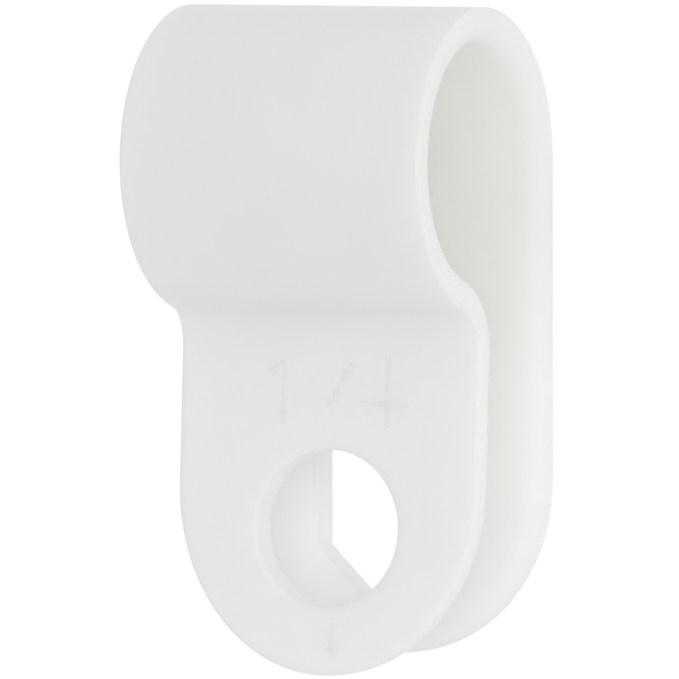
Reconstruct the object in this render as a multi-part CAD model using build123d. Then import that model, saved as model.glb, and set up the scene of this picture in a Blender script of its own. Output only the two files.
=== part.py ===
from build123d import *
from math import sqrt
import os

# Cable clamp moulded in one piece: a flat strap bent into a loop, its two ends facing each other as legs.
# X runs along the cable, Y from the screw hole towards the loop, Z up off the mounting face.
# The origin is on the mounting face, on the axis of the screw hole. Millimetres and degrees.

# Strap
strap_width = 9.525
strap_thickness = 1.0
inner_edge_radius = 0.55
outer_edge_chamfer = 0.1

# Loop and neck
bore_diameter = 6.8
loop_distance = 10.5
neck_radius = 1.1

# Legs: the gap is taken at the screw hole, and the upper leg leans away from the lower one towards its end
leg_gap = 3.13
leg_lean = 3.2
lower_end_distance = 3.8
upper_end_distance = 4.2
end_centre_distance = 1.2

# Screw holes: round in the upper leg, longer and with cut corners in the lower leg, set towards the loop
screw_hole_diameter = 4.5
screw_hole_edge_radius = 0.1
lower_hole_width = 4.7
lower_hole_length = 5.5
lower_hole_offset = 0.6
lower_hole_corner = 1.4

# Radii and heights that follow, and a run longer than either leg, which the oval ends trim
bore_radius = bore_diameter / 2
loop_radius = bore_radius + strap_thickness
overall_height = 2 * loop_radius
split_height = strap_thickness + leg_gap / 2
leg_run = loop_distance + lower_end_distance + upper_end_distance

# Directions and points of the YZ section: along the upper leg towards the loop, and off its outside
along_leg = Vector(1, 0).rotate(Axis.Z, -leg_lean)
off_leg = Vector(0, 1).rotate(Axis.Z, -leg_lean)
loop_centre = Vector(loop_distance, loop_radius)
leg_point = Vector(0, strap_thickness + leg_gap) + off_leg * strap_thickness

# The neck's arc touches the outside of the upper leg and the outside of the loop
leg_to_loop = loop_centre - leg_point
neck_rise = neck_radius - leg_to_loop.dot(off_leg)
neck_reach = sqrt((loop_radius + neck_radius) ** 2 - neck_rise**2)
neck_run = leg_to_loop.dot(along_leg) - neck_reach
neck_centre = leg_point + along_leg * neck_run + off_leg * neck_radius
loop_to_neck = (neck_centre - loop_centre).normalized()

# How close a point has to be to count as lying on a line
tolerance = 1e-4


def strap_line(depth):
    """Line of the bent strap in the YZ section, at a depth under its outside, from lower to upper leg."""
    radius = loop_radius - depth
    far_point = loop_centre + Vector(radius, 0)
    neck_end = neck_centre - off_leg * (neck_radius + depth)
    lower_leg = Line((loop_distance - leg_run, depth), (loop_distance, depth))
    loop = ThreePointArc(lower_leg @ 1, far_point, loop_centre + loop_to_neck * radius)
    neck = TangentArc(loop @ 1, neck_end, tangent=loop % 1)
    upper_leg = Line(neck @ 1, neck_end - along_leg * leg_run)
    return Plane.YZ * Wire([lower_leg, loop, neck, upper_leg])


def bent_strap(outer_line, inner_line):
    """Strap of constant thickness and full width between its outside and its inside."""
    ends = [Line(outer_line @ 0, inner_line @ 0), Line(outer_line @ 1, inner_line @ 1)]
    section = make_face([*outer_line.edges(), *inner_line.edges(), *ends])
    return extrude(section, strap_width / 2, both=True)


def plan_prism(end_distance, bottom, top):
    """Upright prism over the plan: straight sides and a half-oval end past the screw hole."""
    end = Ellipse(strap_width / 2, end_centre_distance + end_distance)
    side_length = loop_distance + loop_radius - end_centre_distance
    sides = Rectangle(strap_width, side_length, align=(Align.CENTER, Align.MIN))
    return Pos(0, end_centre_distance, bottom) * extrude(end + sides, top - bottom)


def rim(solid, line):
    """Edges of the solid that follow a line of the YZ section."""

    def follows(edge):
        middle = edge @ 0.5
        return line.distance_to(Vector(0, middle.Y, middle.Z)) < tolerance

    return solid.edges().filter_by(follows)


def screw_hole():
    """Core of the round hole through the upper leg."""
    return Pos(0, 0, split_height) * extrude(Circle(screw_hole_diameter / 2), overall_height)


def lower_hole():
    """Core of the hole through the lower leg: a rectangle with its four corners cut at 45 degrees."""
    corners = Rectangle(lower_hole_width, lower_hole_length).vertices()
    return Pos(0, lower_hole_offset) * extrude(chamfer(corners, lower_hole_corner), strap_thickness)


def screw_hole_edges(solid):
    """The two oval edges that the round hole leaves on the leaning leg."""
    return solid.edges().filter_by(GeomType.ELLIPSE).filter_by_position(
        Axis.Y, -screw_hole_diameter / 2, screw_hole_diameter / 2
    )


def cable_clamp():
    """The whole clamp as one solid."""
    outer_line = strap_line(0)
    inner_line = strap_line(strap_thickness)
    lower_half = plan_prism(lower_end_distance, 0, split_height)
    upper_half = plan_prism(upper_end_distance, split_height, overall_height)
    clamp = bent_strap(outer_line, inner_line) & (lower_half + upper_half)
    clamp = fillet(rim(clamp, inner_line), inner_edge_radius)
    clamp = chamfer(rim(clamp, outer_line), outer_edge_chamfer)
    clamp = clamp - screw_hole() - lower_hole()
    return fillet(screw_hole_edges(clamp), screw_hole_edge_radius)


os.makedirs("parts", exist_ok=True)
export_step(cable_clamp(), "parts/cable_clamp.step")
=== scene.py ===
from math import cos, radians, sin

import bpy
from mathutils import Matrix, Vector


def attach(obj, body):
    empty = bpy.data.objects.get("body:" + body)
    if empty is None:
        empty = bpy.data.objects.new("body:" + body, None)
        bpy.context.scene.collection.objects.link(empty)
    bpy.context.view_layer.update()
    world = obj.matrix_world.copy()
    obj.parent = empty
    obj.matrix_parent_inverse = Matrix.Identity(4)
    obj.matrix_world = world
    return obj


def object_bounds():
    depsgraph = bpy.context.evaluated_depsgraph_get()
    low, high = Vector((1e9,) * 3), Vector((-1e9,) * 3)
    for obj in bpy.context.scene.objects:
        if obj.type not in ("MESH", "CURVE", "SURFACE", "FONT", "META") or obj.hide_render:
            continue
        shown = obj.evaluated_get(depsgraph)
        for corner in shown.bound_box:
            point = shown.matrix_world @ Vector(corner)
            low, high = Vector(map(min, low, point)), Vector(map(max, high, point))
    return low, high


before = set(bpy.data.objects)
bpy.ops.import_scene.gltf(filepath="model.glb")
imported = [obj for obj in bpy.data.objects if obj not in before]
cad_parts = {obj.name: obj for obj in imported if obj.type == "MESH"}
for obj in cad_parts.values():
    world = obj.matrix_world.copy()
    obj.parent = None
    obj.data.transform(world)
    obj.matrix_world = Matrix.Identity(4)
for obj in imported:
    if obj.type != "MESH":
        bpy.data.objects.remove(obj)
cad_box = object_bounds()

# The clamp lies on its back on a pale floor, in metres.
# X runs along the cable, Y from the screw hole to the loop, Z up.
# The camera looks down on it, so that Y runs up the picture.
mm = 0.001
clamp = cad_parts["cable_clamp"]

# Camera: turned to the clamp's right, raised towards the loop and rolled a little
picture_width = 679
sensor_width = 36
view_turn = radians(26.52)
view_rise = radians(2.42)
view_roll = radians(-0.08)
view_distance = 500 * mm
view_scale = 34.90 / mm
view_height = 2.5 * mm
view_right = -0.791 * mm
view_up = 5.290 * mm
nearest_seen = 1 * mm
farthest_seen = 10000 * mm

# Nylon colour: pale on the legs, a little greener in tint and darker with painted shade from the neck to
# the loop, with soft clouds
nylon_pale = (0.925, 0.925, 0.912, 1)
nylon_loop_tint_and_shade = (0.865, 0.873, 0.852, 1)
tint_and_shade_from = 4 * mm
tint_and_shade_to = 8 * mm
cloud_density = 0.25 / mm
cloud_share = 0.3

# Nylon body and skin: how far light wanders in it, its gloss, its moulding ripple and its fine grain
nylon_depth = 0.8 * mm
nylon_index = 1.53
nylon_gloss = 0.2
smooth_roughness = 0.5
dull_roughness = 0.6
dullness_density = 2 / mm
ripple_density = 0.7 / mm
ripple_height = 0.05 * mm
ripple_strength = 0.2
grain_density = 12 / mm
grain_height = 0.01 * mm
grain_strength = 0.15

# Middle range of Blender's noise
noise_low = 0.3
noise_high = 0.7

# Moulded figures on the upper leg, low rounded strokes: their radius, how far they stand proud,
# how much of the leg's own light they hide, and where each one runs, in millimetres
stroke_radius = 0.4 * mm
stroke_rise = 0.008 * mm
stroke_cover = 0.35
stroke_roundness = 12
size_strokes = [
    [(-2.02, 4.42), (-1.46, 4.74), (-1.46, 2.94)],
    [(0.70, 4.67), (-0.03, 3.43)],
    [(1.86, 2.90), (1.86, 4.94)],
    [(0.98, 3.55), (2.51, 3.55)],
]
cavity_strokes = [
    [(0.26, -2.72), (0.26, -3.75)],
    [(0.07, -3.46), (0.46, -3.46)],
]

# Floor: its size, its gap under the clamp, and its colours and levels of light to the clamp and to the eye
floor_half = 2000 * mm
floor_gap = 0.02 * mm
paper_colour = (0.85, 0.85, 0.85, 1)
paper_level = 0.2
shadow_colour = (0.2, 0.2, 0.2, 1)
white_level = 0.86

# Light: levels of the white tent at its walls and ceiling, and the soft box's size, place and power
tent_white = (1, 1, 1, 1)
wall_level = 0.80
ceiling_level = 0.54
light_size = 160 * mm
light_place = Vector((110, 20, 200)) * mm
light_power = 0.125

# Pale walls face each other across the gap and the bore, so light is followed through many bounces
diffuse_bounces = 16
all_bounces = 24


def new_material(name):
    """Node material without any nodes, with its lists of nodes and links."""
    material = bpy.data.materials.new(name)
    material.use_nodes = True
    material.node_tree.nodes.clear()
    return material, material.node_tree.nodes, material.node_tree.links


def noise(nodes, links, where, density, detail):
    """Noise of so many bumps to the metre."""
    texture = nodes.new("ShaderNodeTexNoise")
    texture.inputs["Scale"].default_value = density
    texture.inputs["Detail"].default_value = detail
    links.new(where, texture.inputs["Vector"])
    return texture.outputs["Fac"]


def spread(nodes, links, value, low, high):
    """Noise stretched from its middle range to low and high."""
    stretch = nodes.new("ShaderNodeMapRange")
    stretch.inputs["From Min"].default_value = noise_low
    stretch.inputs["From Max"].default_value = noise_high
    stretch.inputs["To Min"].default_value = low
    stretch.inputs["To Max"].default_value = high
    links.new(value, stretch.inputs["Value"])
    return stretch.outputs["Result"]


def bump(nodes, links, texture, strength, height):
    """Bump of a texture."""
    relief = nodes.new("ShaderNodeBump")
    relief.inputs["Strength"].default_value = strength
    relief.inputs["Distance"].default_value = height
    links.new(texture, relief.inputs["Height"])
    return relief


def nylon_colour(nodes, links, where):
    """Pale colour with soft clouds that, from the legs to the loop, takes on a greener tint and painted
    shade.
    """
    cloud = noise(nodes, links, where, cloud_density, 3)
    place = nodes.new("ShaderNodeSeparateXYZ")
    links.new(where, place.inputs["Vector"])
    # Factor of painted shade and greener tint, from none on the legs to full on the loop
    depth = nodes.new("ShaderNodeMapRange")
    depth.inputs["From Min"].default_value = tint_and_shade_from
    depth.inputs["From Max"].default_value = tint_and_shade_to
    links.new(place.outputs["Y"], depth.inputs["Value"])
    links.new(spread(nodes, links, cloud, 0, cloud_share), depth.inputs["To Min"])
    links.new(spread(nodes, links, cloud, 1 - cloud_share, 1), depth.inputs["To Max"])
    colour = nodes.new("ShaderNodeMix")
    colour.data_type = "RGBA"
    colour.inputs["A"].default_value = nylon_pale
    colour.inputs["B"].default_value = nylon_loop_tint_and_shade
    links.new(depth.outputs["Result"], colour.inputs["Factor"])
    return colour.outputs["Result"]


def nylon(name, depth_share, cover):
    """Milky, satin nylon: its share of light from the depth, and how far it covers what is under it."""
    material, nodes, links = new_material(name)
    where = nodes.new("ShaderNodeTexCoord").outputs["Object"]
    dullness = noise(nodes, links, where, dullness_density, 2)
    grains = noise(nodes, links, where, grain_density, 2)
    ripples = noise(nodes, links, where, ripple_density, 1)
    grain = bump(nodes, links, grains, grain_strength, grain_height)
    ripple = bump(nodes, links, ripples, ripple_strength, ripple_height)
    links.new(grain.outputs["Normal"], ripple.inputs["Normal"])

    skin = nodes.new("ShaderNodeBsdfPrincipled")
    skin.subsurface_method = "RANDOM_WALK"
    skin.inputs["Subsurface Weight"].default_value = depth_share
    skin.inputs["Subsurface Radius"].default_value = (1, 1, 1)
    skin.inputs["Subsurface Scale"].default_value = nylon_depth
    skin.inputs["IOR"].default_value = nylon_index
    skin.inputs["Specular IOR Level"].default_value = nylon_gloss
    skin.inputs["Alpha"].default_value = cover
    links.new(nylon_colour(nodes, links, where), skin.inputs["Base Color"])
    links.new(spread(nodes, links, dullness, smooth_roughness, dull_roughness), skin.inputs["Roughness"])
    links.new(ripple.outputs["Normal"], skin.inputs["Normal"])

    output = nodes.new("ShaderNodeOutputMaterial")
    links.new(skin.outputs["BSDF"], output.inputs["Surface"])
    return material


def seen_directly(nodes, links):
    """One where the camera, a reflection or a clear surface looks, zero for light that falls on things."""
    path = nodes.new("ShaderNodeLightPath")
    total = path.outputs["Is Camera Ray"]
    for kind in ("Is Glossy Ray", "Is Transmission Ray"):
        either = nodes.new("ShaderNodeMath")
        either.operation = "MAXIMUM"
        links.new(total, either.inputs[0])
        links.new(path.outputs[kind], either.inputs[1])
        total = either.outputs["Value"]
    return total


def light_or_eye(nodes, links, as_light, to_eye):
    """One shader for the light that falls on things, and another for what is seen."""
    mix = nodes.new("ShaderNodeMixShader")
    links.new(seen_directly(nodes, links), mix.inputs["Fac"])
    links.new(as_light, mix.inputs[1])
    links.new(to_eye, mix.inputs[2])
    return mix.outputs["Shader"]


def lit_paper(nodes, links, colour, level):
    """Paper of a colour, with a level of light of its own."""
    paper = nodes.new("ShaderNodeBsdfDiffuse")
    paper.inputs["Color"].default_value = colour
    glow = nodes.new("ShaderNodeEmission")
    glow.inputs["Strength"].default_value = level
    both = nodes.new("ShaderNodeAddShader")
    links.new(paper.outputs["BSDF"], both.inputs[0])
    links.new(glow.outputs["Emission"], both.inputs[1])
    return both.outputs["Shader"]


def floor_paper():
    """Pale paper: white with a soft shadow to the eye, and a faint light that shines into the nylon."""
    material, nodes, links = new_material("floor_paper")
    as_light = lit_paper(nodes, links, paper_colour, paper_level)
    to_eye = lit_paper(nodes, links, shadow_colour, white_level)
    output = nodes.new("ShaderNodeOutputMaterial")
    links.new(light_or_eye(nodes, links, as_light, to_eye), output.inputs["Surface"])
    return material


def surface_height(x, y):
    """Height of the clamp's top under a point."""
    hit, place, _, _ = clamp.ray_cast(Vector((x, y, cad_box[1].z + mm)), Vector((0, 0, -1)))
    if not hit:
        raise ValueError(f"no surface under {x}, {y}")
    return place.z


def moulded_figure(name, strokes, material):
    """Raised strokes, sunk into the leg so that only their tops stand proud."""
    curve = bpy.data.curves.new(name, "CURVE")
    curve.dimensions = "3D"
    curve.bevel_depth = stroke_radius
    curve.bevel_resolution = stroke_roundness
    curve.use_fill_caps = True
    for stroke in strokes:
        line = curve.splines.new("POLY")
        line.points.add(len(stroke) - 1)
        for point, (x, y) in zip(line.points, stroke):
            height = surface_height(x * mm, y * mm) + stroke_rise - stroke_radius
            point.co = (x * mm, y * mm, height, 1)
    figure = bpy.data.objects.new(name, curve)
    figure.data.materials.append(material)
    bpy.context.scene.collection.objects.link(figure)
    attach(figure, "root")


def floor():
    """Wide floor under the clamp."""
    mesh = bpy.data.meshes.new("floor")
    corners = [(-1, -1), (1, -1), (1, 1), (-1, 1)]
    mesh.from_pydata([(x * floor_half, y * floor_half, 0) for x, y in corners], [], [(0, 1, 2, 3)])
    mesh.materials.append(floor_paper())
    plane = bpy.data.objects.new("floor", mesh)
    plane.location.z = cad_box[0].z - floor_gap
    bpy.context.scene.collection.objects.link(plane)


def soft_box():
    """Square soft box that faces the middle of the clamp."""
    light = bpy.data.lights.new("soft_box", "AREA")
    light.shape = "SQUARE"
    light.size = light_size
    light.energy = light_power
    lamp = bpy.data.objects.new("soft_box", light)
    lamp.location = (cad_box[0] + cad_box[1]) / 2 + light_place
    lamp.rotation_euler = (-light_place).to_track_quat("-Z", "Y").to_euler()
    bpy.context.scene.collection.objects.link(lamp)


def studio_world():
    """White tent: plain white to the eye, and as light brighter at its walls than at its ceiling."""
    world = bpy.data.worlds.new("studio")
    world.use_nodes = True
    nodes, links = world.node_tree.nodes, world.node_tree.links
    nodes.clear()
    backdrop = nodes.new("ShaderNodeBackground")
    tent = nodes.new("ShaderNodeBackground")
    for cloth in (backdrop, tent):
        cloth.inputs["Color"].default_value = tent_white
    direction = nodes.new("ShaderNodeSeparateXYZ")
    links.new(nodes.new("ShaderNodeTexCoord").outputs["Generated"], direction.inputs["Vector"])
    level = nodes.new("ShaderNodeMapRange")
    level.inputs["To Min"].default_value = wall_level
    level.inputs["To Max"].default_value = ceiling_level
    links.new(direction.outputs["Z"], level.inputs["Value"])
    links.new(level.outputs["Result"], tent.inputs["Strength"])
    surface = light_or_eye(nodes, links, tent.outputs["Background"], backdrop.outputs["Background"])
    output = nodes.new("ShaderNodeOutputWorld")
    links.new(surface, output.inputs["Surface"])
    bpy.context.scene.world = world


def camera():
    """Long lens that shows the clamp as the picture frames it."""
    out = Vector((sin(view_turn) * cos(view_rise), sin(view_rise), cos(view_turn) * cos(view_rise)))
    level_right = Vector((cos(view_turn), 0, -sin(view_turn)))
    level_up = out.cross(level_right)
    right = level_right * cos(view_roll) + level_up * sin(view_roll)
    up = level_up * cos(view_roll) - level_right * sin(view_roll)
    centre = Vector((0, 0, view_height)) + view_right * right + view_up * up

    lens = bpy.data.cameras.new("camera")
    lens.sensor_width = sensor_width
    lens.lens = sensor_width * view_scale * view_distance / picture_width
    lens.clip_start = nearest_seen
    lens.clip_end = farthest_seen
    eye = bpy.data.objects.new("camera", lens)
    turn = Matrix((right, up, out)).transposed().to_4x4()
    eye.matrix_world = Matrix.Translation(centre + view_distance * out) @ turn
    bpy.context.scene.collection.objects.link(eye)
    bpy.context.scene.camera = eye


clamp.data.materials.clear()
clamp.data.materials.append(nylon("nylon", 1, 1))
figure_nylon = nylon("nylon_figure", 0, stroke_cover)
moulded_figure("size_figure", size_strokes, figure_nylon)
moulded_figure("cavity_figure", cavity_strokes, figure_nylon)

floor()
studio_world()
soft_box()
camera()
bpy.context.scene.view_settings.view_transform = "Standard"
bpy.context.scene.cycles.diffuse_bounces = diffuse_bounces
bpy.context.scene.cycles.max_bounces = all_bounces
